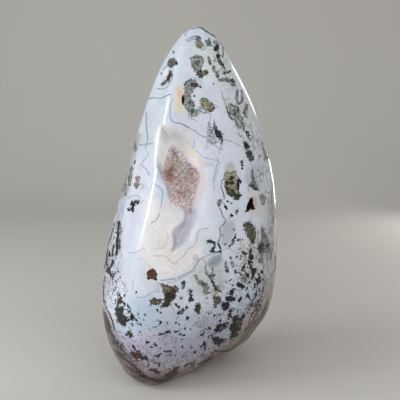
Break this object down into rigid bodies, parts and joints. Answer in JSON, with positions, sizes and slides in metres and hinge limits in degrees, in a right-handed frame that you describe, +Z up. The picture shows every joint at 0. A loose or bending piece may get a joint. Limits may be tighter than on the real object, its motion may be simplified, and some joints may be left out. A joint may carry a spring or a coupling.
{
  "type": "ocean jasper freeform",
  "caption": "Tall polished ocean jasper stone with a rounded tip, a druzy pocket in its front and a small flat foot it stands on.",
  "frame": {"origin": "centre of the flat foot, on the surface the stone stands on", "axes": "+Z up the stone to its tip, -Y the side with the druzy pocket, +X to that side's right"},
  "size_m": [0.1139, 0.0797, 0.22],
  "materials": {
    "jasper": "polished, banded white chalcedony with moss-green and black inclusions",
    "druse": "fine sparkling quartz points, pinkish brown"
  },
  "bodies": {
    "root": {"stone": "jasper", "druzy_crust": "druse"}
  },
  "joints": []
}
